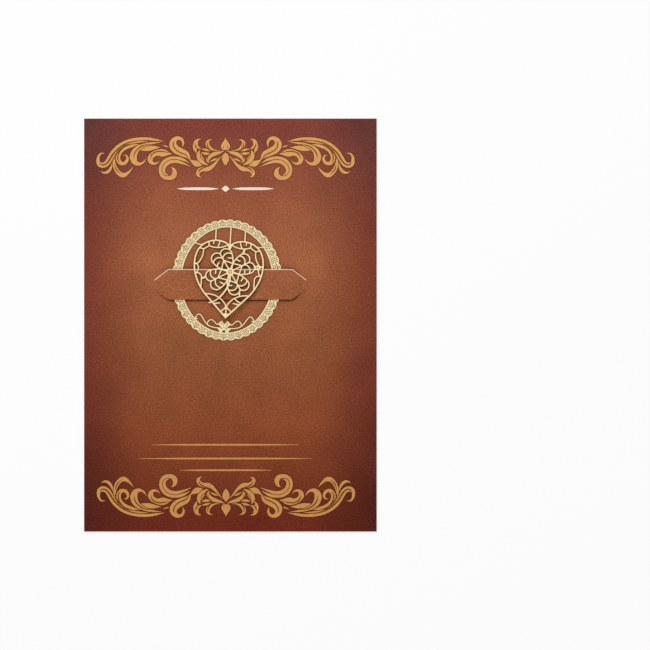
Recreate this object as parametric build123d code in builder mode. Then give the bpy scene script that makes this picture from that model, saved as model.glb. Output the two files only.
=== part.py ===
# Gold clip bookmark held by the die-cut band of its printed card.
# The card lies flat: X to its right, Y to its top, Z out of its printed face.
# The origin is the middle of the card's back.

from build123d import *

import os
from math import asin, atan2, cos, degrees, hypot, pi, radians, sin, tan

# Printed card
card_width = 85.0
card_height = 120.0
card_thickness = 0.4

# Band that two slits free from the card, bowed up over the clip's frame
band_width = 8.9
band_neck_width = 2.9
band_margin = 6.02
band_slant = 4.0
band_corner_radius = 2.4
band_drop = 1.28
slit_width = 0.1
side_room = 0.3
overrun = 1.0

# Clip, etched from one sheet
sheet_thickness = 0.25
layer_gap = 0.05
clip_shift = -1.0
clip_rise = 13.08
clip_turn = -3.3

# Oval lace frame
frame_width = 32.05
frame_height = 35.3
lace_side_width = 2.87
lace_end_width = 2.37
scallop_depth = 0.42
scallop_count = 44

# Heart that hangs in the frame as a spring tongue
heart_drop = 3.71
heart_side_room = 2.95
heart_foot_room = 3.87
heart_aside = 0.32
rim_strand = 0.43
lace_strand = 0.36
hanger_strand = 0.4
flex_gap = 0.05
star_reach = 1.0
star_points_count = 4

# Clover inside the heart
leaf_count = 4
leaf_strand = 0.38
stem_strand = 0.47
link_width = 0.6
clover_boss = 0.85
clover_turn = 31.2

# Ribbon bow in the foot of the frame
bow_width_share = 0.65
bow_height_share = 0.164
ribbon_strand = 0.34

# Heart outline and lace, right half, as shares of the half width and of the height from the top
outline_shares = ((0.0, 0.063), (0.16, 0.019), (0.385, 0.0), (0.728, 0.045), (0.944, 0.162), (1.0, 0.316),
                  (0.895, 0.515), (0.643, 0.691))
tip_side_shares = ((0.643, 0.691), (0.0, 0.982))
almond_shares = ((0.06, 0.052), (0.359, 0.093), (0.605, 0.074))
almond_end_shares = ((0.613, 0.025), (0.605, 0.074))
divider_shares = ((0.3, 0.005), (0.316, 0.048), (0.353, 0.088))
almond_stub_shares = ((0.476, 0.004), (0.476, 0.043))
shoulder_shares = ((0.605, 0.074), (0.675, 0.098), (0.765, 0.119))
shoulder_knot_shares = ((0.765, 0.119), (0.875, 0.108))
long_leaf_shares = ((0.762, 0.119), (0.778, 0.21), (0.905, 0.307))
long_leaf_end_shares = ((0.905, 0.307), (0.995, 0.317))
small_cell_shares = ((0.985, 0.305), (0.872, 0.378), (0.965, 0.436))
lower_cell_shares = ((0.955, 0.437), (0.805, 0.447), (0.768, 0.485), (0.773, 0.612))
arch_shares = ((0.64, 0.692), (0.43, 0.697), (0.23, 0.731), (0.0, 0.846))
arch_strut_shares = ((0.225, 0.733), (0.31, 0.767), (0.42, 0.79))
arch_stub_shares = ((0.365, 0.811), (0.2, 0.799))
tip_strand_shares = ((0.0, 0.85), (0.14, 0.903))
tip_bar_shares = ((0.0, 0.85), (0.0, 0.95))
tip_shares = ((-0.1, 0.932), (0.1, 0.932), (0.0, 1.0))
tip_knot_shares = ((0.0, 0.835), (0.058, 0.852), (0.0, 0.882), (-0.058, 0.852))
cleft_shares = ((0.0, 0.035), (0.065, 0.062), (0.03, 0.105), (-0.025, 0.105), (-0.06, 0.062))
whisker_shares = ((-0.42, 0.79), (-0.455, 0.799), (-0.503, 0.803))
star_shares = (0.85, 0.321)
star_waist_share = 0.5
hanger_share = 0.427
tie_shares = ((0.74, 0.048), (0.845, 0.064), (1.02, 0.046))

# Clover: its centre in the heart, a leaf's length as shares of the heart's width and height, and half a leaf
# as shares of that length along and across it
clover_shares = (0.053, 0.394)
leaf_length_shares = (0.3031, 0.2552)
leaf_side_shares = ((0.06, 0.07), (0.45, 0.39), (0.82, 0.51))
leaf_lobe_shares = ((0.82, 0.51), (1.135, 0.27), (1.0, 0.0))
leaf_crescent_shares = ((0.74, 0.0), (0.885, 0.28), (0.76, 0.485))
leaf_stub_shares = ((0.54, 0.42), (0.645, 0.25))
leaf_vein_shares = ((0.64, 0.0), (0.33, 0.28))
leaf_rib_shares = ((1.0, 0.0), (0.1, 0.0))
stem_shares = ((0.06, 0.41), (0.026, 0.56), (-0.057, 0.64), (-0.207, 0.728))

# Links from a leaf's lobe to the rim: turn of the leaf, place on it, place on the rim and share of the width
link_shares = (
    (0, (0.92, 0.49), (0.445, 0.09), 1),
    (0, (1.09, -0.365), star_shares, 2.2),
    (180, (1.12, -0.325), (-0.766, 0.502), 0.9),
    (270, (1.09, -0.086), (0.363, 0.706), 0.76),
)

# Bow, right half, as shares of its half width and of its height above the frame's inner edge
bow_knot_shares = ((0.0, 0.517), (0.05, 0.635), (0.087, 0.682), (0.125, 0.655), (0.255, 0.5),
                   (0.255, 0.44), (0.13, 0.358), (0.235, 0.285), (0.235, 0.2), (0.165, 0.06),
                   (0.165, -0.06), (0.074, -0.06), (0.0, 0.195))
lower_ribbon_shares = ((0.15, 0.247), (0.35, 0.265), (0.533, 0.357), (0.683, 0.61), (0.742, 0.775))
ribbon_curl_shares = ((0.742, 0.775), (0.88, 0.985), (1.01, 0.74))
upper_ribbon_shares = ((0.23, 0.458), (0.275, 0.475), (0.308, 0.54), (0.45, 0.7), (0.548, 0.61),
                       (0.583, 0.42))
curl_stub_shares = ((1.0, 0.735), (0.91, 0.72))

# Strands of lace on each half of the heart and of each leaf
lace_cells = (almond_shares, almond_end_shares, divider_shares, almond_stub_shares, shoulder_shares,
              shoulder_knot_shares, long_leaf_shares, long_leaf_end_shares, small_cell_shares,
              lower_cell_shares, arch_shares, arch_strut_shares, arch_stub_shares, tip_strand_shares)
leaf_cells = (leaf_side_shares, leaf_lobe_shares, leaf_crescent_shares, leaf_stub_shares, leaf_vein_shares)

# Opening of the frame, and what hangs and stands in it
opening_width = frame_width - 2 * lace_side_width
opening_height = frame_height - 2 * lace_end_width
heart_top = opening_height / 2 - heart_drop
heart_width = opening_width - 2 * heart_side_room
heart_height = opening_height - heart_drop - heart_foot_room
bow_width = opening_width * bow_width_share
bow_height = opening_height * bow_height_share

# Place of the band and its reach to each side: its necks, its shoulders and its flat stretch
band_rise = clip_rise - band_drop
band_half = frame_width / 2 + band_margin
band_shoulder = band_half - band_slant
band_flat = frame_width / 2 + abs(clip_shift) + side_room

# Levels of the layers and the angle at which the heart rides over the band
frame_back = card_thickness + layer_gap
frame_front = frame_back + sheet_thickness
band_back = frame_front + layer_gap
band_top = band_rise + band_width / 2
climb = card_thickness + 2 * layer_gap
turn_angle = radians(clip_turn)
heart_reach = heart_width / 2 + abs(heart_aside)
run = heart_top - (band_top - clip_rise) / cos(turn_angle) - heart_reach * abs(tan(turn_angle))
lift_angle = degrees(atan2(climb, run) + asin(sheet_thickness / hypot(run, climb)))

clip_plane = Plane((clip_shift, clip_rise, frame_back)).rotated((0, 0, clip_turn))
tongue_place = Location((heart_aside, heart_top, sheet_thickness), (-lift_angle, 0, 0))
tongue_plane = Plane(clip_plane.location * tongue_place)


def heart_point(across_share, down_share):
    across = (heart_width - rim_strand) / 2
    down = heart_height - rim_strand / 2
    return (across * across_share, -rim_strand / 2 - down * down_share)


def edge_points(inset, phase):
    # Evenly spaced places along the frame's outer oval
    oval = Edge.make_ellipse(frame_width / 2 - inset, frame_height / 2 - inset)
    return [oval @ ((step + phase) / scallop_count) for step in range(scallop_count)]


def clover_point(turn, along_share, across_share):
    centre = Vector(heart_point(*clover_shares))
    reach = Vector(along_share, across_share).rotate(Axis.Z, clover_turn + turn)
    return centre + Vector(heart_width * leaf_length_shares[0] * reach.X,
                           heart_height * leaf_length_shares[1] * reach.Y)


def bow_point(across_share, up_share):
    return (bow_width / 2 * across_share, bow_height * up_share - opening_height / 2)


def strand(points, width):
    # A strip of the sheet along an arc through three points, then on through arcs tangent to it
    with BuildLine(mode=Mode.PRIVATE) as path:
        if len(points) < 3:
            Line(*points)
        else:
            arc = ThreePointArc(*points[:3])
            for point in points[3:]:
                arc = TangentArc(arc @ 1, point, tangent=arc % 1)
    SlotArc(path.wire(), width)


def heart_strand(shares, width, side=1):
    strand([heart_point(side * across, down) for across, down in shares], width)


def clover_strand(turn, shares, side=1):
    strand([clover_point(turn, along, side * across) for along, across in shares], leaf_strand)


def bow_strand_pair(shares):
    for side in (-1, 1):
        strand([bow_point(side * across, up) for across, up in shares], ribbon_strand)


def link(start, finish, width):
    # A short web of the sheet from one place to another
    side = (finish - start).normalized().rotate(Axis.Z, 90) * width / 2
    Polygon(start + side, start - side, finish - side, finish + side, align=None)


def star_points(centre, reach):
    points = []
    for step in range(2 * star_points_count):
        radius = reach * (star_waist_share if step % 2 else 1)
        angle = pi * step / star_points_count
        points.append((centre[0] + radius * cos(angle), centre[1] + radius * sin(angle)))
    return points


def band_outline(margin):
    neck = band_neck_width / 2 + margin
    edge = band_width / 2 + margin
    Polygon((-band_half, -neck), (-band_shoulder, -edge), (band_shoulder, -edge), (band_half, -neck),
            (band_half, neck), (band_shoulder, edge), (-band_shoulder, edge), (-band_half, neck), align=None)


# Card with the window that the band leaves
with BuildPart() as card_sheet:
    with BuildSketch():
        Rectangle(card_width, card_height)
    extrude(amount=card_thickness)
    with BuildSketch(Plane((0, band_rise, -overrun))) as window:
        band_outline(slit_width)
        fillet(window.vertices().group_by(Axis.Y)[0], band_corner_radius + slit_width)
    extrude(amount=card_thickness + 2 * overrun, mode=Mode.SUBTRACT)

# Band, bowed over the frame and still joined to the card at its two necks
with BuildPart() as card_band:
    with BuildSketch(Plane((0, band_rise, 0), x_dir=(1, 0, 0), z_dir=(0, -1, 0))):
        with BuildLine():
            bend_middle = (band_half + band_flat) / 2
            foot = TangentArc((-band_half, 0), (-bend_middle, band_back / 2), tangent=(1, 0))
            crest = TangentArc(foot @ 1, (-band_flat, band_back), tangent=foot % 1)
            flat = Line(crest @ 1, (band_flat, band_back))
            fall = TangentArc(flat @ 1, (bend_middle, band_back / 2), tangent=flat % 1)
            TangentArc(fall @ 1, (band_half, 0), tangent=fall % 1)
            offset(amount=card_thickness, side=Side.LEFT)
        make_face()
    extrude(amount=band_width, both=True)
    with BuildSketch(Plane((0, band_rise, -overrun))) as band_face:
        band_outline(0)
        fillet(band_face.vertices().group_by(Axis.Y)[0], band_corner_radius)
    extrude(amount=band_back + card_thickness + 2 * overrun, mode=Mode.INTERSECT)

# Oval frame with its scalloped edge
with BuildPart() as lace_frame:
    with BuildSketch(clip_plane) as frame_face:
        with BuildLine():
            valleys = edge_points(scallop_depth, 1 / 2)
            for scallop, crest in enumerate(edge_points(0, 0)):
                ThreePointArc(valleys[scallop - 1], crest, valleys[scallop])
        make_face()
        Ellipse(opening_width / 2, opening_height / 2, mode=Mode.SUBTRACT)
    extrude(amount=sheet_thickness)

# Three bars that carry the heart from the top of the frame
with BuildPart() as hanger_bars:
    with BuildSketch(clip_plane):
        for share in (-hanger_share, 0, hanger_share):
            with Locations((heart_aside + heart_point(share, 0)[0], heart_top + flex_gap)):
                Rectangle(hanger_strand, heart_drop, align=(Align.CENTER, Align.MIN))
        Ellipse(opening_width / 2, opening_height / 2, mode=Mode.INTERSECT)
    extrude(amount=sheet_thickness)

# Bow with its two scrolling ribbons
with BuildPart() as ribbon_bow:
    with BuildSketch(clip_plane):
        Polygon(*[bow_point(*shares) for shares in bow_knot_shares],
                *[bow_point(-across, up) for across, up in bow_knot_shares[-2:0:-1]], align=None)
        bow_strand_pair(lower_ribbon_shares)
        bow_strand_pair(upper_ribbon_shares)
        bow_strand_pair(ribbon_curl_shares)
        bow_strand_pair(curl_stub_shares)
        add(frame_face.sketch_local, mode=Mode.SUBTRACT)
    extrude(amount=sheet_thickness)

# Heart outline with its lace cells
with BuildPart() as heart_rim:
    with BuildSketch(tongue_plane) as heart_face:
        for side in (-1, 1):
            heart_strand(outline_shares, rim_strand, side)
            heart_strand(tip_side_shares, rim_strand, side)
            for shares in lace_cells:
                heart_strand(shares, lace_strand, side)
        heart_strand(whisker_shares, lace_strand)
        heart_strand(tip_bar_shares, lace_strand)
        for shares in (cleft_shares, tip_knot_shares, tip_shares):
            Polygon(*[heart_point(*share) for share in shares], align=None)
        Polygon(*star_points(heart_point(*star_shares), star_reach), align=None)
        Rectangle(hanger_strand, -heart_point(*cleft_shares[1])[1], align=(Align.CENTER, Align.MAX))
    extrude(amount=-sheet_thickness)

# Whiskers from the heart's shoulders to the frame
heart_silhouette = Face(heart_face.sketch_local.face().outer_wire())
with BuildPart() as side_ties:
    with BuildSketch(tongue_plane):
        for side in (-1, 1):
            heart_strand(tie_shares, lace_strand, side)
        add(heart_silhouette, mode=Mode.SUBTRACT)
        with Locations((-heart_aside, -heart_top)):
            Ellipse(opening_width / 2 - flex_gap, opening_height / 2 - flex_gap, mode=Mode.INTERSECT)
    extrude(amount=-sheet_thickness)

# Four-leaved clover with its stem
with BuildPart() as clover:
    with BuildSketch(tongue_plane):
        with Locations(heart_point(*clover_shares)):
            Circle(clover_boss)
        for leaf in range(leaf_count):
            turn = 360 * leaf / leaf_count
            clover_strand(turn, leaf_rib_shares)
            for shares in leaf_cells:
                clover_strand(turn, shares)
                clover_strand(turn, shares, -1)
        heart_strand(stem_shares, stem_strand)
        for turn, lobe_shares, rim_shares, width_share in link_shares:
            lobe_place = clover_point(turn, *lobe_shares)
            link(lobe_place, Vector(heart_point(*rim_shares)), link_width * width_share)
        add(heart_face.sketch_local, mode=Mode.SUBTRACT)
    extrude(amount=-sheet_thickness)

os.makedirs("parts", exist_ok=True)
for name, piece in (
    ("card_sheet", card_sheet),
    ("card_band", card_band),
    ("lace_frame", lace_frame),
    ("hanger_bars", hanger_bars),
    ("ribbon_bow", ribbon_bow),
    ("heart_rim", heart_rim),
    ("side_ties", side_ties),
    ("clover", clover),
):
    piece.part.label = name
    export_step(piece.part, f"parts/{name}.step")
    print(name, len(piece.part.solids()), "solids", round(piece.part.volume, 2), "mm3")
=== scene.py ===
from math import cos, hypot, pi, radians, sin, sqrt

import bmesh
import bpy
from mathutils import Matrix, Vector


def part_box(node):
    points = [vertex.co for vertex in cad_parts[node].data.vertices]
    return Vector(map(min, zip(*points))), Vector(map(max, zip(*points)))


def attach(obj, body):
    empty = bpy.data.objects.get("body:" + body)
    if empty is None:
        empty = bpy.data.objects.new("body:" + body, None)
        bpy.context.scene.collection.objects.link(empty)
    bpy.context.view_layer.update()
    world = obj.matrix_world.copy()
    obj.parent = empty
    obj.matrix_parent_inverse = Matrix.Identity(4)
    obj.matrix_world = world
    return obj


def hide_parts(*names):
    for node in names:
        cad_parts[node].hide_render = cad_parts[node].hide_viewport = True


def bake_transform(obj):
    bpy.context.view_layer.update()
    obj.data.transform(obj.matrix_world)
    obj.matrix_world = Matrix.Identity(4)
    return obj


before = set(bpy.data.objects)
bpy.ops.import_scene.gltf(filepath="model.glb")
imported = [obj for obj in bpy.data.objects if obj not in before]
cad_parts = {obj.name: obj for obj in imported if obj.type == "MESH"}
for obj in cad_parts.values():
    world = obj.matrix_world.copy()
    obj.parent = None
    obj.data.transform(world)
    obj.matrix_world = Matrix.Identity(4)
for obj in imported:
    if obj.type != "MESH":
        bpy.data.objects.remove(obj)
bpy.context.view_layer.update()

scene = bpy.context.scene
mm = 0.001


# sRGB hex to linear colour
def linear(hexColour):
    shares = [int(hexColour[i:i + 2], 16) / 255 for i in (1, 3, 5)]
    return [s / 12.92 if s <= 0.04045 else ((s + 0.055) / 1.055) ** 2.4 for s in shares] + [1]


# One node with its settings, plain values, colour stops and incoming links
def addNode(tree, kind, settings={}, values={}, links={}, stops=()):
    node = tree.nodes.new("ShaderNode" + kind)
    for name, value in settings.items():
        setattr(node, name, value)
    for socket, value in values.items():
        node.inputs[socket].default_value = value
    for socket, source in links.items():
        tree.links.new(source, node.inputs[socket])
    for i, (position, colour) in enumerate(stops):
        element = node.color_ramp.elements[i] if i < 2 else node.color_ramp.elements.new(position)
        element.position = position
        element.color = linear(colour)
    return node


def newMaterial(name):
    material = bpy.data.materials.new(name)
    material.use_nodes = True
    material.node_tree.nodes.clear()
    return material, material.node_tree


def newPiece(name, points, faces, material):
    mesh = bpy.data.meshes.new(name)
    mesh.from_pydata([[c * mm for c in p] for p in points], [], faces)
    mesh.validate()
    piece = bpy.data.objects.new(name, mesh)
    scene.collection.objects.link(piece)
    mesh.materials.append(material)
    return piece


# Card stock, offset printed with a leather picture and satin laminated: warm brown that darkens to the
# edges, a fine mottle, a soft sheen. Cut edges and the back show the plain off-white board.
cardPrint = {
    "middle": [(0.03, "#6B2B1C"), (0.12, "#793821"), (0.25, "#8B492C"), (0.45, "#925535"),
               (0.66, "#A36241"), (0.80, "#98563B"), (0.97, "#804035")],
    "edge": [(0.03, "#522119"), (0.12, "#57241B"), (0.25, "#672D21"), (0.45, "#773929"),
             (0.66, "#7D3C2D"), (0.80, "#72382E"), (0.97, "#633632")],
    "board": "#EFE6D8", "wornAndLit": "#EEC6A6",
    "vignetteStart": 20, "vignetteEnd": 44,  # millimetres from the card's upright middle line
    "mottleSize": 0.42, "mottle": 0.85,      # leather grain
    "fade": 0.36,                            # the grain's lights are greyer than its darks
    "cloudSize": 11, "cloud": 0.24,
    "fibreSize": 0.5, "fibreHeight": 0.02,   # board fibre, drawn coarser than it is
    "fibreStrength": 0.12,
    "wornAndLitWidth": 0.3, "wornAndLitShare": 0.7,       # bruised white edge along the band's upper cut, partly a painted highlight where the cut catches the light
    "bandSlant": 4.0, "bandNeck": 2.9,
    "printedFrom": 0.4, "printedTo": 0.6,    # how far a face looks up where the print begins
    # close shade beside and under the clip and the band
    "shadeReach": 2.0, "shade": 0.9, "shadeTint": "#8F9450", "fullShade": 0.45,
    "sheen": (0.5, 0.66), "gloss": 0.06, "ior": 1.5,
}


def printedCard(name, wornAndLitEdge):
    material, tree = newMaterial(name)
    coords = addNode(tree, "TexCoord")
    place = addNode(tree, "SeparateXYZ", links={"Vector": coords.outputs["Object"]})
    facing = addNode(tree, "SeparateXYZ", links={"Vector": coords.outputs["Normal"]})
    low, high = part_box("card_sheet")
    rise = addNode(tree, "MapRange", values={"From Min": low.y, "From Max": high.y},
                   links={"Value": place.outputs["Y"]})
    middle = addNode(tree, "ValToRGB", stops=cardPrint["middle"], links={"Fac": rise.outputs["Result"]})
    edge = addNode(tree, "ValToRGB", stops=cardPrint["edge"], links={"Fac": rise.outputs["Result"]})
    aside = addNode(tree, "Math", {"operation": "ABSOLUTE"}, links={0: place.outputs["X"]})
    vignette = addNode(tree, "MapRange", {"interpolation_type": "SMOOTHSTEP"},
                       {"From Min": cardPrint["vignetteStart"] * mm,
                        "From Max": cardPrint["vignetteEnd"] * mm}, {"Value": aside.outputs[0]})
    shaded = addNode(tree, "Mix", {"data_type": "RGBA"}, links={
        0: vignette.outputs["Result"], 6: middle.outputs["Color"], 7: edge.outputs["Color"]})
    mottle = addNode(tree, "TexNoise",
                     values={"Scale": 1 / (cardPrint["mottleSize"] * mm), "Detail": 5, "Roughness": 0.65},
                     links={"Vector": coords.outputs["Object"]})
    cloud = addNode(tree, "TexNoise", values={"Scale": 1 / (cardPrint["cloudSize"] * mm), "Detail": 4},
                    links={"Vector": coords.outputs["Object"]})
    grain = addNode(tree, "MapRange",
                    values={"To Min": 1 - cardPrint["mottle"], "To Max": 1 + cardPrint["mottle"]},
                    links={"Value": mottle.outputs["Fac"]})
    drift = addNode(tree, "MapRange",
                    values={"To Min": 1 - cardPrint["cloud"], "To Max": 1 + cardPrint["cloud"]},
                    links={"Value": cloud.outputs["Fac"]})
    tone = addNode(tree, "Math", {"operation": "MULTIPLY"},
                   links={0: grain.outputs["Result"], 1: drift.outputs["Result"]})
    fade = addNode(tree, "MapRange",
                   values={"To Min": 1 + cardPrint["fade"] / 2, "To Max": 1 - cardPrint["fade"] / 2},
                   links={"Value": mottle.outputs["Fac"]})
    picture = addNode(tree, "HueSaturation", links={
        "Color": shaded.outputs[2], "Value": tone.outputs[0], "Saturation": fade.outputs["Result"]})
    clear = addNode(tree, "AmbientOcclusion", {"samples": 12}, {"Distance": cardPrint["shadeReach"] * mm})
    shade = addNode(tree, "MapRange",
                    values={"From Min": 1, "From Max": cardPrint["fullShade"],
                            "To Max": cardPrint["shade"]},
                    links={"Value": clear.outputs["AO"]})
    dimmed = addNode(tree, "Mix", {"data_type": "RGBA", "blend_type": "MULTIPLY"},
                     {7: linear(cardPrint["shadeTint"])},
                     {0: shade.outputs["Result"], 6: picture.outputs["Color"]})
    printed = addNode(tree, "MapRange",
                      values={"From Min": cardPrint["printedFrom"], "From Max": cardPrint["printedTo"]},
                      links={"Value": facing.outputs["Z"]})
    share = printed.outputs["Result"]
    if wornAndLitEdge:  # distance outside the band's straight upper edge and its slanted ends
        bandLow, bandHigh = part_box("card_band")
        run = cardPrint["bandSlant"] * mm
        fall = (bandHigh.y - bandLow.y - cardPrint["bandNeck"] * mm) / 2
        acrossShare, upShare = fall / hypot(run, fall), run / hypot(run, fall)
        shoulder = (bandHigh.x - run) * acrossShare + bandHigh.y * upShare
        across = addNode(tree, "Math", {"operation": "MULTIPLY_ADD"}, {1: acrossShare, 2: -shoulder},
                         {0: aside.outputs[0]})
        slant = addNode(tree, "Math", {"operation": "MULTIPLY_ADD"}, {1: upShare},
                        {0: place.outputs["Y"], 2: across.outputs[0]})
        straight = addNode(tree, "Math", {"operation": "SUBTRACT"}, {1: bandHigh.y},
                           {0: place.outputs["Y"]})
        outside = addNode(tree, "Math", {"operation": "MAXIMUM"},
                          links={0: slant.outputs[0], 1: straight.outputs[0]})
        wornAndLitReach = -cardPrint["wornAndLitWidth"] * mm
        whole = addNode(tree, "MapRange",
                        values={"From Min": cardPrint["wornAndLitShare"] * wornAndLitReach, "From Max": wornAndLitReach},
                        links={"Value": outside.outputs[0]})
        share = addNode(tree, "Math", {"operation": "MULTIPLY"},
                        links={0: share, 1: whole.outputs["Result"]}).outputs[0]
    # On the band, the cut faces and a strip along its upper edge are pale peach: worn paper core, partly a
    # painted highlight of the lit edge
    board = linear(cardPrint["wornAndLit" if wornAndLitEdge else "board"])
    colour = addNode(tree, "Mix", {"data_type": "RGBA"}, {6: board}, {0: share, 7: dimmed.outputs[2]})
    fibre = addNode(tree, "TexNoise", values={"Scale": 1 / (cardPrint["fibreSize"] * mm), "Detail": 3},
                    links={"Vector": coords.outputs["Object"]})
    smooth, rough = cardPrint["sheen"]
    sheen = addNode(tree, "MapRange", values={"To Min": smooth, "To Max": rough},
                    links={"Value": mottle.outputs["Fac"]})
    relief = addNode(tree, "Bump", values={"Strength": cardPrint["fibreStrength"],
                                           "Distance": cardPrint["fibreHeight"] * mm},
                     links={"Height": fibre.outputs["Fac"]})
    shader = addNode(tree, "BsdfPrincipled",
                     values={"Specular IOR Level": cardPrint["gloss"], "IOR": cardPrint["ior"]},
                     links={"Base Color": colour.outputs[2], "Roughness": sheen.outputs["Result"],
                            "Normal": relief.outputs["Normal"]})
    addNode(tree, "OutputMaterial", links={"Surface": shader.outputs[0]})
    return material


# Brass sheet, photo-etched and gold plated: pale cream gold with a satin face and softened etched edges,
# tinted pinker there as a painted highlight. Where the half etch leaves it rough it is dull olive brown,
# which is also painted shade in the recesses; an attribute for the etch and this shade is 1 in such places.
platedBrass = {
    "gold": "#EFDDAF", "warmGold": "#E7CDA2", "etched": "#665A2E", "edge": "#EEC69C",
    "toneSize": 3.0, "satin": (0.28, 0.46),
    "grainSize": 0.18, "grainHeight": 0.01, "grainStrength": 0.2,  # etched grain, drawn coarser than it is
    "edgeRadius": 0.1, "edgeFrom": 0.995, "edgeTo": 0.8,           # cosines of an edge's turn
}


def goldPlatedBrass():
    material, tree = newMaterial("brass_etched_gold_plated")
    coords = addNode(tree, "TexCoord")
    tone = addNode(tree, "TexNoise", values={"Scale": 1 / (platedBrass["toneSize"] * mm), "Detail": 3},
                   links={"Vector": coords.outputs["Object"]})
    grain = addNode(tree, "TexNoise", values={"Scale": 1 / (platedBrass["grainSize"] * mm), "Detail": 4},
                    links={"Vector": coords.outputs["Object"]})
    plated = addNode(tree, "Mix", {"data_type": "RGBA"},
                     {6: linear(platedBrass["gold"]), 7: linear(platedBrass["warmGold"])},
                     {0: tone.outputs["Fac"]})
    rounded = addNode(tree, "Bevel", {"samples": 8}, {"Radius": platedBrass["edgeRadius"] * mm})
    flat = addNode(tree, "NewGeometry")
    level = addNode(tree, "VectorMath", {"operation": "DOT_PRODUCT"}, links={
        0: rounded.outputs["Normal"], 1: flat.outputs["Normal"]})
    turned = addNode(tree, "MapRange",
                     values={"From Min": platedBrass["edgeFrom"], "From Max": platedBrass["edgeTo"]},
                     links={"Value": level.outputs["Value"]})
    # edges that turn away are tinted pinker: painted highlight
    edgeLit = addNode(tree, "Mix", {"data_type": "RGBA"}, {7: linear(platedBrass["edge"])},
                    {0: turned.outputs["Result"], 6: plated.outputs[2]})
    # etched places: dull olive brown, partly painted shade of the recesses
    etch = addNode(tree, "Attribute", {"attribute_name": "etch"})
    colour = addNode(tree, "Mix", {"data_type": "RGBA"}, {7: linear(platedBrass["etched"])},
                     {0: etch.outputs["Fac"], 6: edgeLit.outputs[2]})
    smooth, rough = platedBrass["satin"]
    satin = addNode(tree, "MapRange", values={"To Min": smooth, "To Max": rough},
                    links={"Value": grain.outputs["Fac"]})
    relief = addNode(tree, "Bump", values={"Strength": platedBrass["grainStrength"],
                                           "Distance": platedBrass["grainHeight"] * mm},
                     links={"Height": grain.outputs["Fac"], "Normal": rounded.outputs["Normal"]})
    shader = addNode(tree, "BsdfPrincipled", values={"Metallic": 1}, links={
        "Base Color": colour.outputs[2], "Roughness": satin.outputs["Result"],
        "Normal": relief.outputs["Normal"]})
    addNode(tree, "OutputMaterial", links={"Surface": shader.outputs[0]})
    return material


# Opaque printing ink on the laminated card: flat colour that thins a little over the leather mottle.
# Each ink has its colour at the foot and at the head of the card.
inks = {
    "gold": ("#CC9054", "#DA9F63"), "umber": ("#6E3C14", "#82501F"),
    "brown": ("#54280D", "#663615"), "cream": ("#E6D6BE", "#F2E6D2"),
    "speckleSize": 0.7, "speckle": 0.2, "sheen": (0.45, 0.6), "gloss": 0.06, "ior": 1.5,
}


def printedInk(name, lowColour, highColour):
    material, tree = newMaterial(name)
    coords = addNode(tree, "TexCoord")
    place = addNode(tree, "SeparateXYZ", links={"Vector": coords.outputs["Object"]})
    low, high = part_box("card_sheet")
    rise = addNode(tree, "MapRange", values={"From Min": low.y, "From Max": high.y},
                   links={"Value": place.outputs["Y"]})
    ink = addNode(tree, "ValToRGB", stops=[(0, lowColour), (1, highColour)],
                  links={"Fac": rise.outputs["Result"]})
    speckle = addNode(tree, "TexNoise", values={"Scale": 1 / (inks["speckleSize"] * mm), "Detail": 5},
                      links={"Vector": coords.outputs["Object"]})
    cover = addNode(tree, "MapRange",
                    values={"To Min": 1 - inks["speckle"], "To Max": 1 + inks["speckle"]},
                    links={"Value": speckle.outputs["Fac"]})
    colour = addNode(tree, "HueSaturation",
                     links={"Color": ink.outputs["Color"], "Value": cover.outputs["Result"]})
    smooth, rough = inks["sheen"]
    sheen = addNode(tree, "MapRange", values={"To Min": smooth, "To Max": rough},
                    links={"Value": speckle.outputs["Fac"]})
    shader = addNode(tree, "BsdfPrincipled",
                     values={"Specular IOR Level": inks["gloss"], "IOR": inks["ior"]},
                     links={"Base Color": colour.outputs["Color"], "Roughness": sheen.outputs["Result"]})
    addNode(tree, "OutputMaterial", links={"Surface": shader.outputs[0]})
    return material


cardMaterial = printedCard("card_printed_satin", False)
bandMaterial = printedCard("card_printed_satin_worn_and_lit_edge", True)
brassMaterial = goldPlatedBrass()
goldInk = printedInk("ink_gold_printed", *inks["gold"])
brownInk = printedInk("ink_brown_printed", *inks["brown"])
umberInk = printedInk("ink_umber_printed", *inks["umber"])
creamInk = printedInk("ink_cream_printed", *inks["cream"])

for node, material in [("card_sheet", cardMaterial), ("card_band", bandMaterial),
                       ("lace_frame", brassMaterial), ("hanger_bars", brassMaterial),
                       ("ribbon_bow", brassMaterial), ("heart_rim", brassMaterial),
                       ("side_ties", brassMaterial), ("clover", brassMaterial)]:
    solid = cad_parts[node]
    solid.data.materials.clear()
    solid.data.materials.append(material)
print("materials done")


# Where the clip lies on the card, and the tongue plane of its heart
clip = {"shift": -1.0, "rise": 13.08, "turn": -3.3, "bottom": 0.45, "top": 0.70,
        "heartAside": 0.32, "heartTop": 11.57, "lift": 5.509}
clipPlace = Vector((clip["shift"], clip["rise"], 0)) * mm
clipPlane = Matrix.Translation(clipPlace) @ Matrix.Rotation(radians(clip["turn"]), 4, "Z")
bendPlace = Vector((clip["heartAside"], clip["heartTop"], clip["top"])) * mm
tonguePlane = clipPlane @ Matrix.Translation(bendPlace) @ Matrix.Rotation(-radians(clip["lift"]), 4, "X")

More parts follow.
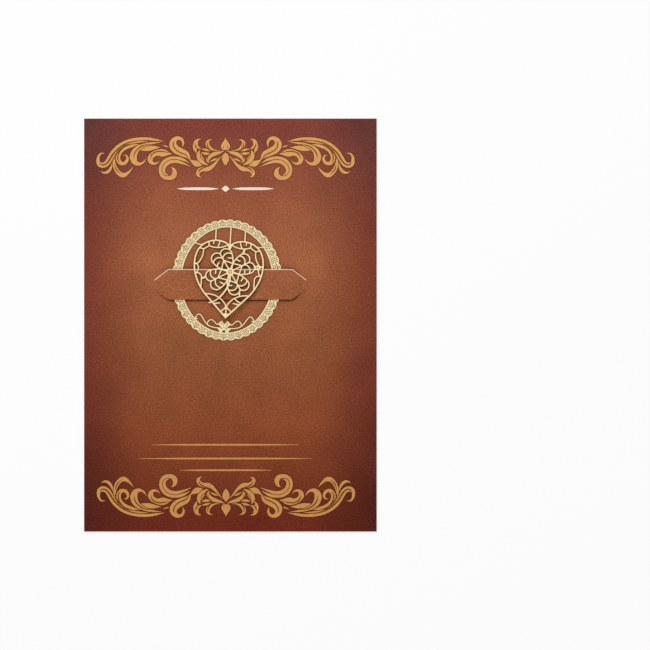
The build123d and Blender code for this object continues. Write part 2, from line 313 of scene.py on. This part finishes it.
# Oval lace frame: smooth inner rim, scalloped edge, half-etched stitches, a flower and a horseshoe by
# turns. Stitches are strokes of (along the edge, out from the opening) in mm, from a scallop's middle.
lace = {
    "scallops": 44, "edge": (16.025, 17.65), "opening": (13.155, 15.28), "scallopDepth": 0.42,
    "width": 2.62, "stepsAlong": 36, "stepsOut": 38, "edgeRound": 0.05, "roundWidth": 0.15, "crease": 50,
    "etchDepth": 0.1, "etchWidth": 0.22, "etchSoft": 0.06,
    "flower": [[(-0.95, 0.5), (-0.85, 0.62)], [(-0.35, 0.62), (-0.25, 0.5)], [(0.25, 0.5), (0.35, 0.62)],
               [(0.85, 0.62), (0.95, 0.5)],
               [(-0.68, 1.08), (-0.56, 0.98)], [(-0.06, 0.98), (0.06, 1.1)], [(0.56, 1.08), (0.68, 0.98)],
               [(-1.0, 1.5), (-0.9, 1.62)], [(-0.36, 1.62), (-0.26, 1.5)], [(0.26, 1.5), (0.36, 1.62)],
               [(0.9, 1.62), (1.0, 1.5)],
               [(-0.66, 2.0), (-0.54, 2.1)], [(-0.06, 2.14), (0.06, 2.02)], [(0.54, 2.1), (0.66, 2.0)]],
    "horseshoe": [[(-0.42, 1.62), (-0.43, 1.82)], [(-0.2, 2.15), (0.12, 2.2)], [(0.4, 1.86), (0.4, 1.66)],
                  [(-0.02, 1.66), (0.04, 1.76)],
                  [(-0.92, 1.75), (-0.84, 1.62)], [(0.84, 1.62), (0.92, 1.75)],
                  [(-0.62, 1.12), (-0.5, 1.22)], [(-0.05, 1.2), (0.07, 1.1)], [(0.5, 1.22), (0.62, 1.12)],
                  [(-0.9, 0.62), (-0.8, 0.74)], [(-0.3, 0.7), (-0.2, 0.58)], [(0.2, 0.58), (0.3, 0.7)],
                  [(0.8, 0.74), (0.9, 0.62)]],
}


# How deep the half etch is at a place, from 0 on the face to 1 in a stitch
def stitchDepth(along, out, stitches):
    nearest = lace["etchWidth"]
    for stitch in stitches:
        for (ax, ay), (bx, by) in zip(stitch, stitch[1:]):
            span = (bx - ax) ** 2 + (by - ay) ** 2
            share = min(1, max(0, ((along - ax) * (bx - ax) + (out - ay) * (by - ay)) / span))
            nearest = min(nearest, hypot(along - ax - share * (bx - ax), out - ay - share * (by - ay)))
    return min(1, max(0, (lace["etchWidth"] / 2 + lace["etchSoft"] - nearest) / lace["etchSoft"]))


def laceFrame():
    stepsAlong, stepsOut = lace["stepsAlong"], lace["stepsOut"]
    around = lace["scallops"] * stepsAlong
    across, up = lace["edge"]
    pitch = pi * (across + up) / lace["scallops"]
    evening = (up ** 2 - across ** 2) / (up ** 2 + across ** 2) / 4  # spaces the scallops evenly
    places = [[((i / stepsAlong - 0.5) * pitch, j / stepsOut * lace["width"]) for j in range(stepsOut + 1)]
              for i in range(stepsAlong)]
    depths = {motif: [[stitchDepth(*place, lace[motif]) for place in line] for line in places]
              for motif in ("flower", "horseshoe")}
    points, etch = [], []
    for i in range(around):
        turn = 2 * pi * i / around
        turn += evening * sin(2 * turn)
        scallop, step = divmod(i + stepsAlong // 2, stepsAlong)
        lower = cos(turn) < 0  # a flower at the head, a horseshoe at the foot
        motif = "horseshoe" if (scallop + lower) % 2 else "flower"
        inset = lace["scallopDepth"] * (2 * step / stepsAlong - 1) ** 2
        inner = Vector((lace["opening"][0] * sin(turn), lace["opening"][1] * cos(turn), 0))
        outer = Vector(((across - inset) * sin(turn), (up - inset) * cos(turn), 0))
        for j in range(stepsOut + 1):
            depth = depths[motif][step][j]
            toEdge = min(j, stepsOut - j) / stepsOut * lace["width"]
            rounding = lace["edgeRound"] * max(0, 1 - toEdge / lace["roundWidth"]) ** 2
            height = clip["top"] - lace["etchDepth"] * depth - rounding
            points.append(inner.lerp(outer, j / stepsOut) + Vector((0, 0, height)))
            etch.append(depth)
        points += [inner + Vector((0, 0, clip["bottom"])), outer + Vector((0, 0, clip["bottom"]))]
        etch += [0, 0]
    row = stepsOut + 3
    faces = []
    for i in range(around):
        a, b = i * row, (i + 1) % around * row
        faces += [(b + j, b + j + 1, a + j + 1, a + j) for j in range(stepsOut)]
        ai, ao, bi, bo = a + stepsOut + 1, a + stepsOut + 2, b + stepsOut + 1, b + stepsOut + 2
        faces += [(b + stepsOut, bo, ao, a + stepsOut), (bo, bi, ai, ao), (bi, b, a, ai)]
    piece = newPiece("oval_lace", points, faces, brassMaterial)
    # the stitches' etch depth also sets their dull colour with painted shade
    piece.data.attributes.new("etch", "FLOAT", "POINT").data.foreach_set("value", etch)
    piece.data.shade_smooth()
    piece.data.set_sharp_from_angle(angle=radians(lace["crease"]))
    piece.matrix_world = clipPlane
    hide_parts("lace_frame")
    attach(piece, "clip_frame")


laceFrame()
print("lace frame done")


# A pen's nib, in millimetres: the outline that is drawn along each stroke
def makeNib(name, outline, closed):
    curve = bpy.data.curves.new(name, "CURVE")
    curve.dimensions = "3D"
    spline = curve.splines.new("POLY")
    spline.points.add(len(outline) - 1)
    for point, (x, y) in zip(spline.points, outline):
        point.co = (x * mm, y * mm, 0, 1)
    spline.use_cyclic_u = closed
    nib = bpy.data.objects.new(name, curve)
    scene.collection.objects.link(nib)
    return nib


strands = {"weld": 0.0001, "crease": 50}  # millimetres, degrees


# Joins the end caps to their strands and turns all faces outwards
def closeStrands(mesh):
    body = bmesh.new()
    body.from_mesh(mesh)
    bmesh.ops.remove_doubles(body, verts=body.verts, dist=strands["weld"] * mm)
    bmesh.ops.recalc_face_normals(body, faces=body.faces)
    body.to_mesh(mesh)
    body.free()
    mesh.set_sharp_from_angle(angle=radians(strands["crease"]))


# Strokes of (x, y, z, pen width) become one mesh, drawn with the nib as smooth curves
def drawStrokes(name, strokes, nib, material, capped=False):
    curve = bpy.data.curves.new(name, "CURVE")
    curve.dimensions, curve.twist_mode = "3D", "Z_UP"
    curve.resolution_u = 8
    curve.bevel_mode, curve.bevel_object, curve.use_fill_caps = "OBJECT", nib, capped
    for stroke in strokes:
        spline = curve.splines.new("BEZIER")
        spline.bezier_points.add(len(stroke) - 1)
        spline.radius_interpolation = "CARDINAL"
        for knot, (x, y, z, width) in zip(spline.bezier_points, stroke):
            knot.co, knot.radius = Vector((x, y, z)) * mm, width
            knot.handle_left_type = knot.handle_right_type = "AUTO"
    pen = bpy.data.objects.new(name, curve)
    scene.collection.objects.link(pen)
    mesh = bpy.data.meshes.new_from_object(pen.evaluated_get(bpy.context.evaluated_depsgraph_get()))
    bpy.data.objects.remove(pen)
    piece = bpy.data.objects.new(name, mesh)
    scene.collection.objects.link(piece)
    mesh.materials.clear()
    mesh.materials.append(material)
    if capped:
        closeStrands(mesh)
    else:  # a film of ink lies flat
        mesh.shade_flat()
    return piece


flatNib = makeNib("flat_nib", [(-0.5, 0), (0.5, 0)], False)

# Scroll ornament across the head and, upside down, the foot of the card. Leaves are strokes of
# (out from the middle, up, pen width) in millimetres; the left half mirrors the right one.
scroll = {
    "head": (-1.42, 48.8), "foot": (-1.28, -50.0),
    "outline": 0.36, "lineWidth": 0.34, "swell": 1.1, "inkHeight": 0.01,
    "overlapStep": 0.003, "overlapSteps": 7,  # leaves that cross lie at heights a step apart
    "buds": {
        "topBud": [(0, 5.6, .1), (0, 4.9, .7), (0, 3.9, 1.9), (0, 3.1, 2.4), (0, 2.5, 2.1), (0, 2.1, 1.5)],
        "lowBud": [(0, 1.35, .1), (0, .7, 1.2), (0, -.2, 1.9), (0, -1.3, 1.5), (0, -2.1, .7),
                   (0, -2.4, .1)],
    },
    "leaves": {
        "calyx": [(.4, 1.85, .15), (1.6, 1.35, .6), (3.2, .9, 1), (4.5, .2, 1), (5.2, -.8, .8),
                  (4.9, -1.75, .2)],
        "firstHook": [(1.7, 1.95, .1), (3.3, 2.05, .35), (4.5, 2.7, .75), (5.25, 3.7, 1), (5, 4.7, .6),
                      (3.9, 5.15, .1)],
        "hookFoot": [(4.5, 1.75, .15), (5.6, 2.1, .6), (6.95, 2.35, .2)],
        "secondHook": [(7.2, 5.3, .1), (8.3, 4.8, .8), (8.7, 3.7, 1.25), (8.85, 2.5, 1), (8.4, 1.15, .15)],
        "hookTail": [(8.5, 3.6, .7), (7.9, 2.8, .6), (7.15, 2.4, .15)],
        "midLeaf": [(4.4, 1.1, .15), (5.6, 1, .7), (6.95, 1.25, .3)],
        "bigCrescent": [(7.5, 2, .2), (7.85, .9, .9), (7.6, -.4, 1.1), (6.6, -1.5, .9), (5.2, -2.3, .25)],
        "smallSlip": [(6.25, -.75, .3), (6.9, .1, .35), (7.1, .9, .15)],
        "slip": [(2.2, -.4, .15), (3.3, -.75, .5), (4.5, -1.35, .2)],
        "lowerLeaf": [(1.2, .3, .15), (2.3, -1, .45), (3.6, -2.5, .8), (5, -3.4, 1.2), (6.6, -3.5, 1.2),
                      (7.8, -4.2, 1.1), (8, -5.2, .8), (7.1, -5.9, .15)],
        "joinLeaf": [(6.9, -2.45, .3), (8.2, -2, 1.5), (9.3, -1.5, 1.1), (10.2, -.8, .3)],
        "scrollUp": [(10.2, -.9, .3), (11.3, .6, 1.6), (13, 1.5, 2), (14.6, 2.4, 2.1), (15.3, 3.8, 1.9),
                     (14.7, 5.1, 1.3), (13.5, 5.5, .9), (12.5, 4.8, .7), (12.3, 3.8, .5),
                     (12.55, 2.9, .12)],
        "lowerCurl": [(10.5, -1.7, .15), (12.5, -.65, .7), (15, -.2, .7), (17, -.7, .8), (18.5, -2.2, .9),
                      (18.9, -3.9, .9), (18.2, -5.5, 1), (16.7, -6.1, 1), (15.1, -5.5, 1.3),
                      (14.8, -4.4, 1.2), (15.2, -3.4, .7), (15.9, -2.9, .12)],
        "innerCurl": [(10.2, -2.7, .15), (12.5, -1.75, .6), (15, -1.25, .9), (16.9, -1.9, .9),
                      (17.9, -3.4, .8), (17.7, -4.7, .6), (16.7, -5.3, .3)],
        "thirdCurl": [(15.7, .9, .2), (18, 1.2, 1.9), (20, 1.2, 1.5), (21.4, .4, 1.35), (21.9, -.7, 1.35),
                      (21.2, -1.8, .8), (20, -1.75, .45), (19.2, -1.05, .12)],
        "plumeLeaf": [(18.9, 2.8, .12), (20.8, 2.75, 1), (22.8, 2.4, 1.2), (24.6, 2.05, .4)],
        "tendril": [(16.5, 2.9, .1), (17.3, 3.15, .4), (18.3, 3.55, .1)],
        "fourthCrescent": [(18.8, 4.3, .12), (21.5, 4, .6), (23.8, 3.4, .9), (25.6, 2.4, 1.4),
                           (26.6, .9, 1.8), (26.7, -.6, 1.8), (25.9, -1.8, 1.2), (24.6, -1.9, .7),
                           (23.6, -1.2, .4), (23.1, -.3, .1)],
        "topPlume": [(18, 4.55, .1), (20.5, 5.05, .6), (23.5, 5.35, .75), (27, 5, .8), (29.5, 4.2, .75),
                     (31.6, 2.85, .7), (33.15, 1.2, .65), (34.2, -.55, .6), (34.9, -1.5, .5),
                     (35.7, -1.85, .45), (36.5, -1.6, .3)],
        "secondPlume": [(22.6, 4.5, .12), (25.5, 4.4, .5), (28.3, 3.85, .5), (30.4, 2.75, .5),
                        (32, 1.3, .5), (33.1, -.4, .6), (34.1, -1.95, .7), (35.5, -2.7, .75),
                        (36.7, -2.2, .9), (37.05, -.95, .85), (36.85, .25, .6), (36.15, 1.05, .4),
                        (35.1, 1.05, .1)],
        "fifthCurl": [(25.2, 3.7, .12), (27.2, 3.3, .8), (29, 2.8, 1.1), (30.5, 1.7, 1.2), (31.2, .2, 1.2),
                      (30.9, -1.3, 1.1), (29.9, -1.9, .9), (28.8, -1.3, .8), (28.5, -.2, .6),
                      (29, .5, .35), (29.7, .5, .1)],
        "lowCrescent": [(32.3, .2, .12), (32.4, -1.5, .7), (32, -3.1, 1), (31, -4.6, 1.15),
                        (29.7, -5.25, 1.2), (28.4, -4.6, .7), (27.5, -3.7, .4), (26.9, -2.9, .1)],
        "endLeaf": [(32.9, -1.8, .2), (33.3, -3.1, .6), (34.2, -4.25, .75), (35.3, -4.55, .5),
                    (36.25, -4.1, .1)],
    },
    "lines": {
        "bud": [(.6, 3.3), (.6, 2.3)],
        "calyx": [(4.1, 1.05), (5.1, .35), (5.25, -.9)],
        "firstHook": [(4.4, 2.1), (5.2, 3.2), (5.25, 4.3)],
        "secondHook": [(8.95, 4), (8.5, 2.9), (8, 2.3)],
        "lowerLeaf": [(4.6, -2.6), (6.3, -3.05), (7.5, -3.8), (7.9, -4.6)],
        "scrollUp": [(10.4, -1), (11.6, .6), (13.5, 1.5), (14.8, 2.6), (15.2, 3.9), (15, 4.6)],
        "thirdCurl": [(16.3, 1.2), (18.5, 1.65), (20.2, 1.5), (21.4, .7), (21.8, -.5)],
        "fourthCrescent": [(21.5, 3.7), (24, 3.3), (25.6, 2.2), (26.5, .9), (26.65, -.3)],
        "fifthCurl": [(28.3, 3.5), (30.1, 2.5), (31.1, .9), (31.3, -.6), (30.8, -1.6)],
        "lowCrescent": [(32.2, -2), (31.7, -3.7), (30.5, -4.9)],
        "plumeParting": [(23.5, 4.85), (27, 4.5), (29.5, 3.65), (31.5, 2.15), (32.9, .4), (33.9, -1.2),
                         (34.8, -2.05), (35.7, -2.3), (36.5, -2)],
        "innerParting": [(26, 4), (28.4, 3.5), (30.4, 2.3), (31.7, .8), (32.4, -.7)],
    },
}


# An engraved line swells in the middle and runs out at its ends
def tapered(points, width, endShare=0.35):
    last = len(points) - 1
    return [(x, y, width * (endShare if i in (0, last) else 1)) for i, (x, y) in enumerate(points)]


def scrollOrnament(name, centre, upright):
    halves = [1, -1]
    leaves = [[(side * x, y, w) for x, y, w in leaf]
              for side in halves for leaf in scroll["leaves"].values()]
    leaves += list(scroll["buds"].values())
    leaves = [[(x, y, w * scroll["swell"]) for x, y, w in leaf] for leaf in leaves]
    lines = [[(side * x, y, w) for x, y, w in tapered(line, scroll["lineWidth"])]
             for side in halves for line in scroll["lines"].values()]
    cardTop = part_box("card_sheet")[1].z / mm
    inked = cardTop + scroll["inkHeight"]
    step, steps = scroll["overlapStep"], scroll["overlapSteps"]
    layers = [("outline", leaves, brownInk, scroll["outline"], inked - step / 2, step),
              ("leaves", leaves, goldInk, 0, inked, step),
              ("lines", lines, umberInk, 0, inked + (steps + 1) * step, 0)]
    for layer, strokes, ink, extra, height, rise in layers:
        placed = [[(centre[0] + x, centre[1] + upright * y, height + i % steps * rise, w + extra)
                   for x, y, w in stroke] for i, stroke in enumerate(strokes)]
        piece = drawStrokes(name + "_" + layer, placed, flatNib, ink)
        thick = piece.modifiers.new("inkFilm", "SOLIDIFY")
        thick.thickness, thick.offset = scroll["inkHeight"] * mm / 2, 0
        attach(piece, "card")


scrollOrnament("head_scroll", scroll["head"], 1)
scrollOrnament("foot_scroll", scroll["foot"], -1)
print("scroll ornaments done")

# Plain printed rules, a pair with a lozenge at the head and three at the foot: (left, right, height,
# pen width) in millimetres
rules = {
    "head": [(-15.5, -3.4, 39.6, 0.7), (0.6, 12.7, 39.6, 0.7)], "lozenge": (-1.4, 39.6, 2.4),
    "foot": [(-22.7, 19.9, -34.8, 0.42), (-26.5, 23.6, -38.8, 0.42), (-14.7, 11.9, -42.2, 0.42)],
    "tipWidth": 0.1, "taperShare": 0.2, "lozengeTip": 0.05, "lozengeShare": 0.7,
}


def printedRules(name, lines, lozenge, ink):
    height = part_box("card_sheet")[1].z / mm + scroll["inkHeight"] / 2
    tip, taper = rules["tipWidth"], rules["taperShare"]
    strokes = [[(left, y, height, tip), ((1 - taper) * left + taper * right, y, height, width),
                (taper * left + (1 - taper) * right, y, height, width), (right, y, height, tip)]
               for left, right, y, width in lines]
    if lozenge:
        x, y, size = lozenge
        tip, wide = rules["lozengeTip"], rules["lozengeShare"] * size
        strokes.append([(x - size / 2, y, height, tip), (x, y, height, wide),
                        (x + size / 2, y, height, tip)])
    piece = drawStrokes(name, strokes, flatNib, ink)
    thick = piece.modifiers.new("inkFilm", "SOLIDIFY")
    thick.thickness, thick.offset = scroll["inkHeight"] * mm / 2, 0
    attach(piece, "card")


printedRules("head_rules", rules["head"], rules["lozenge"], creamInk)
printedRules("foot_rules", rules["foot"], None, goldInk)
print("printed rules done")

# Spring bars from the oval's head to the heart
bars = {"places": (-4.266, 0, 4.266), "strand": 0.4, "rootDepth": 0.25, "footDepth": 0.12,
        "bendStart": 0.6, "bendEnd": -0.3, "cornerShare": 0.12, "steps": 12}
# Whiskers from the heart's shoulders to the oval: (across, down) in shares of its half width and height
whiskers = {"path": [(0.74, 0.048), (0.845, 0.064), (1.02, 0.046)], "strand": 0.36,
            "heart": (9.99, 22.765), "heartRim": 0.215}


# Outline of a strand etched from the sheet, its corners eased by the etch
def strandNib(name, width):
    thick = clip["top"] - clip["bottom"]
    ease = bars["cornerShare"] * thick
    corners = [(1, 1), (-1, 1), (-1, -1), (1, -1)]
    outline = []
    for i, (sx, sy) in enumerate(corners):
        pair = [(sx * width / 2, sy * (thick / 2 - ease)), (sx * (width / 2 - ease), sy * thick / 2)]
        outline += pair if i % 2 == 0 else pair[::-1]
    return makeNib(name, outline, True)


def springBars():
    nib = strandNib("bar_nib", bars["strand"])
    level = (clip["top"] + clip["bottom"]) / 2
    foot = clip["heartTop"] - bars["footDepth"]
    steps = bars["steps"]
    strokes = []
    for x in [clip["heartAside"] + place for place in bars["places"]]:
        root = lace["opening"][1] * sqrt(1 - (x / lace["opening"][0]) ** 2) + bars["rootDepth"]
        strokes.append([(x, foot + (root - foot) * i / steps, level, 1) for i in range(steps + 1)])
    piece = drawStrokes("spring_bars", strokes, nib, brassMaterial, True)
    piece.matrix_world = clipPlane
    bpy.data.objects.remove(nib)
    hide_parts("hanger_bars")
    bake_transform(piece)


def shoulderWhiskers():
    nib = strandNib("whisker_nib", whiskers["strand"])
    level = (clip["top"] + clip["bottom"]) / 2
    toClip = clipPlane.inverted() @ tonguePlane
    for side, name in [(-1, "left_whisker"), (1, "right_whisker")]:
        stroke = []
        for i, (across, down) in enumerate(whiskers["path"]):
            inHeart = Vector((side * across * whiskers["heart"][0],
                              -whiskers["heartRim"] - down * whiskers["heart"][1], level - clip["top"]))
            x, y, z = toClip @ (inHeart * mm) / mm
            stroke.append((x, y, z + (level - z) * i / 2, 1))
        piece = drawStrokes(name, [stroke], nib, brassMaterial, True)
        piece.matrix_world = clipPlane
        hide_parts("side_ties")
        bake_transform(piece)
    bpy.data.objects.remove(nib)


springBars()
shoulderWhiskers()
print("spring bars and whiskers done")

# Ribbon bow in the frame's foot: loops of an even strand, and a knot of two ribbons that cross and flare
# to the loops. Places are shares of the bow's half width and height; the knot's ribbons add a pen width
# in millimetres.
bow = {
    "half": 8.551, "height": 5.012, "foot": -15.28, "strand": 0.34, "lapStep": 0.003,
    "loops": [[(0.1, 0.24), (0.23, 0.25), (0.35, 0.265), (0.533, 0.357), (0.683, 0.61), (0.742, 0.775),
               (0.88, 0.985), (1.01, 0.74)],
              [(0.16, 0.45), (0.23, 0.458), (0.275, 0.475), (0.308, 0.54), (0.45, 0.7), (0.548, 0.61),
               (0.583, 0.42)],
              [(1.0, 0.735), (0.955, 0.727), (0.91, 0.72)]],
    "ribbons": [[(-0.095, 0.68, 0.1), (-0.1, 0.6, 0.8), (-0.105, 0.5, 1.35), (-0.03, 0.36, 1.25),
                 (0.05, 0.2, 0.9), (0.1, 0.08, 0.8), (0.125, -0.05, 0.85)],
                [(0.25, 0.262, 0.3), (0.17, 0.2, 0.7), (0.12, 0.1, 0.7)],
                [(0.26, 0.46, 0.3), (0.19, 0.475, 0.6), (0.12, 0.5, 0.7)]],
}


def bowPlace(x, y):
    return bow["half"] * x, bow["height"] * y + bow["foot"]


def ribbonBow():
    level = (clip["top"] + clip["bottom"]) / 2
    nib = strandNib("ribbon_nib", bow["strand"])
    loops = [[(*bowPlace(side * x, y), level - i * bow["lapStep"], 1) for x, y in loop]
             for side in (-1, 1) for i, loop in enumerate(bow["loops"])]
    ribbons = [[(side * x, y, w) for x, y, w in ribbon] for ribbon in bow["ribbons"] for side in (-1, 1)]
    ribbons = [[(*bowPlace(x, y), level - (i + 3) * bow["lapStep"], w) for x, y, w in ribbon]
               for i, ribbon in enumerate(ribbons)]
    looped = drawStrokes("bow_loops", loops, nib, brassMaterial, True)
    knot = drawStrokes("bow_knot", ribbons, flatNib, brassMaterial)
    thick = knot.modifiers.new("sheet", "SOLIDIFY")
    thick.thickness, thick.offset = (clip["top"] - clip["bottom"]) * mm, 0
    bpy.data.objects.remove(nib)
    for piece in (looped, knot):
        piece.matrix_world = clipPlane
        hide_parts("ribbon_bow")
        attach(piece, "clip_frame")


ribbonBow()
print("ribbon bow done")

# Half-etched lines: the folds of the bow's knot, in its shares, and the ring in the clover's middle and
# the lines of the star beside it, in millimetres. A web joins the clover's strands around the ring.
engraving = {
    "lineWidth": 0.22, "lift": 0.004, "film": 0.006,
    "folds": [[(-0.135, 0.56), (-0.11, 0.51), (-0.08, 0.46)], [(-0.045, 0.45), (-0.02, 0.415), (0, 0.38)],
              [(0.1, 0.54), (0.1, 0.49), (0.09, 0.44)], [(0.07, 0.43), (0.085, 0.4), (0.1, 0.37)],
              [(0.045, 0.28), (0.075, 0.225), (0.105, 0.17)],
              [(-0.1, 0.27), (-0.083, 0.225), (-0.065, 0.18)],
              [(-0.03, 0.31), (-0.005, 0.28), (0.02, 0.25)]],
    "boss": (0.53, -9.184), "bossRing": 0.44, "web": 0.8, "webWidth": 0.7, "ringSteps": 12,
    "star": (8.49, -7.523),
    "starLines": [[(-0.37, -0.36), (-0.4, 0), (-0.37, 0.36)], [(0.08, -0.3), (0.08, 0), (0.08, 0.3)]],
}


# Lines in the etched colour, laid as a thin film just above the face: the dull etch together with painted
# shade of an engraved groove
def etchedLines(name, strokes, plane, top, body):
    placed = [[(x, y, top + engraving["lift"], w) for x, y, w in tapered(stroke, engraving["lineWidth"])]
              for stroke in strokes]
    piece = drawStrokes(name, placed, flatNib, brassMaterial)
    etch = piece.data.attributes.new("etch", "FLOAT", "POINT")
    etch.data.foreach_set("value", [1] * len(piece.data.vertices))
    thick = piece.modifiers.new("etchFilm", "SOLIDIFY")
    thick.thickness, thick.offset = engraving["film"] * mm, 0
    piece.matrix_world = plane
    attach(piece, body)


etchedLines("bow_folds", [[bowPlace(x, y) for x, y in fold] for fold in engraving["folds"]],
            clipPlane, clip["top"], "clip_frame")


# Places on a ring around the clover's middle
def bossCircle(radius):
    x, y = engraving["boss"]
    steps = engraving["ringSteps"]
    turns = [2 * pi * i / steps for i in range(steps + 1)]
    return [(x + radius * cos(turn), y + radius * sin(turn)) for turn in turns]


def cloverWeb():
    thick = clip["top"] - clip["bottom"]
    level = -thick / 2 - engraving["lift"]
    ring = [(x, y, level, engraving["webWidth"]) for x, y in bossCircle(engraving["web"])]
    piece = drawStrokes("clover_web", [ring], flatNib, brassMaterial)
    sheet = piece.modifiers.new("sheet", "SOLIDIFY")
    sheet.thickness, sheet.offset = thick * mm, 0
    piece.matrix_world = tonguePlane
    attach(piece, "heart_tongue")


cloverWeb()
etchedLines("clover_ring", [bossCircle(engraving["bossRing"])], tonguePlane, 0, "heart_tongue")
etchedLines("star_lines", [[(engraving["star"][0] + x, engraving["star"][1] + y) for x, y in line]
                           for line in engraving["starLines"]], tonguePlane, 0, "heart_tongue")
bpy.data.objects.remove(flatNib)
print("etched lines done")

# White floor just under the card, with a faint shadow around it. Beneath the card lies a dark sheet,
# painted shade, which is what the slits show.
floorPlan = {"half": 1200, "drop": 0.2, "white": "#F4F4F4", "shine": 0.85, "shadow": 2,
             "dark": "#24110A", "darkDrop": 0.1, "darkInset": 1}


def flatSheet(name, low, high, height, material):
    corners = [(low.x, low.y, height), (high.x, low.y, height),
               (high.x, high.y, height), (low.x, high.y, height)]
    newPiece(name, corners, [(0, 1, 2, 3)], material)


def whiteFloor():
    material, tree = newMaterial("paper_backdrop_white")
    path = addNode(tree, "LightPath")
    seen = addNode(tree, "Math", {"operation": "ADD"}, links={
        0: path.outputs["Is Camera Ray"], 1: path.outputs["Is Glossy Ray"]})
    shown = addNode(tree, "Math", {"operation": "ADD", "use_clamp": True}, links={
        0: seen.outputs[0], 1: path.outputs["Is Transmission Ray"]})
    clear = addNode(tree, "AmbientOcclusion", {"samples": 8}, {"Distance": floorPlan["shadow"] * mm})
    lit = addNode(tree, "Math", {"operation": "MULTIPLY"},
                  links={0: shown.outputs[0], 1: clear.outputs["AO"]})
    glow = addNode(tree, "Math", {"operation": "MULTIPLY"}, {1: floorPlan["shine"]}, {0: lit.outputs[0]})
    matt = addNode(tree, "BsdfDiffuse", values={"Color": linear(floorPlan["white"])})
    white = addNode(tree, "Emission", values={"Color": (1, 1, 1, 1), "Strength": 1})
    mixed = addNode(tree, "MixShader",
                    links={0: glow.outputs[0], 1: matt.outputs[0], 2: white.outputs[0]})
    addNode(tree, "OutputMaterial", links={"Surface": mixed.outputs[0]})
    reach = Vector((floorPlan["half"], floorPlan["half"]))
    flatSheet("floor", -reach, reach, -floorPlan["drop"], material)
    # painted shade: a dark brown sheet under the card, seen through the slits
    dark, tree = newMaterial("paper_backdrop_painted_shade")
    shade = addNode(tree, "BsdfDiffuse", values={"Color": linear(floorPlan["dark"])})
    addNode(tree, "OutputMaterial", links={"Surface": shade.outputs[0]})
    inset = Vector((floorPlan["darkInset"], floorPlan["darkInset"]))
    low, high = (corner.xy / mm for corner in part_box("card_sheet"))
    flatSheet("floor_painted_shade", low + inset, high - inset, -floorPlan["darkDrop"], dark)


whiteFloor()

# Soft key from above the card's head, a weak fill from its foot and an even pale room. The gleam is a faint
# lamp that the tilted heart mirrors. Places and sizes are in metres, powers in watts.
lights = {
    "key": {"place": (-0.16, 0.38, 0.72), "size": 0.5, "power": 5.7, "mirrored": False},
    "fill": {"place": (0.35, -0.45, 0.6), "size": 0.6, "power": 0.5, "mirrored": False},
    "gleam": {"place": (-0.05, 0.18, 0.85), "size": 0.3, "power": 0.08, "mirrored": True},
    "room": 0.24,
}


def studio():
    for name in ("key", "fill", "gleam"):
        plan = lights[name]
        lamp = bpy.data.lights.new(name, "AREA")
        lamp.size, lamp.energy = plan["size"], plan["power"]
        holder = bpy.data.objects.new(name, lamp)
        holder.visible_glossy = plan["mirrored"]
        holder.location = plan["place"]
        holder.rotation_euler = (-Vector(plan["place"])).to_track_quat("-Z", "Y").to_euler()
        scene.collection.objects.link(holder)
    world = bpy.data.worlds.new("pale_room")
    world.use_nodes = True
    tree = world.node_tree
    tree.nodes.clear()
    path = addNode(tree, "LightPath")
    seen = addNode(tree, "Math", {"operation": "ADD"}, links={
        0: path.outputs["Is Camera Ray"], 1: path.outputs["Is Glossy Ray"]})
    shown = addNode(tree, "Math", {"operation": "ADD", "use_clamp": True}, links={
        0: seen.outputs[0], 1: path.outputs["Is Transmission Ray"]})
    strength = addNode(tree, "MapRange", values={"To Min": lights["room"], "To Max": 1},
                       links={"Value": shown.outputs[0]})
    room = addNode(tree, "Background", values={"Color": (1, 1, 1, 1)},
                   links={"Strength": strength.outputs["Result"]})
    addNode(tree, "OutputWorld", links={"Surface": room.outputs[0]})
    scene.world = world


studio()
scene.view_settings.view_transform = "Standard"

# Camera straight above the printed face. The card stands left of the picture's middle.
view = {"aside": 27.5, "width": 188.9, "lens": 135, "sensor": 36, "near": 10, "far": 20000}
camera = bpy.data.objects.new("camera", bpy.data.cameras.new("camera"))
camera.data.lens, camera.data.sensor_width = view["lens"], view["sensor"]
camera.data.clip_start, camera.data.clip_end = view["near"] * mm, view["far"] * mm
distance = view["width"] * view["lens"] / view["sensor"]
camera.location = Vector((view["aside"], 0, distance)) * mm + Vector((0, 0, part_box("card_sheet")[1].z))
scene.collection.objects.link(camera)
scene.camera = camera
print("stage done")
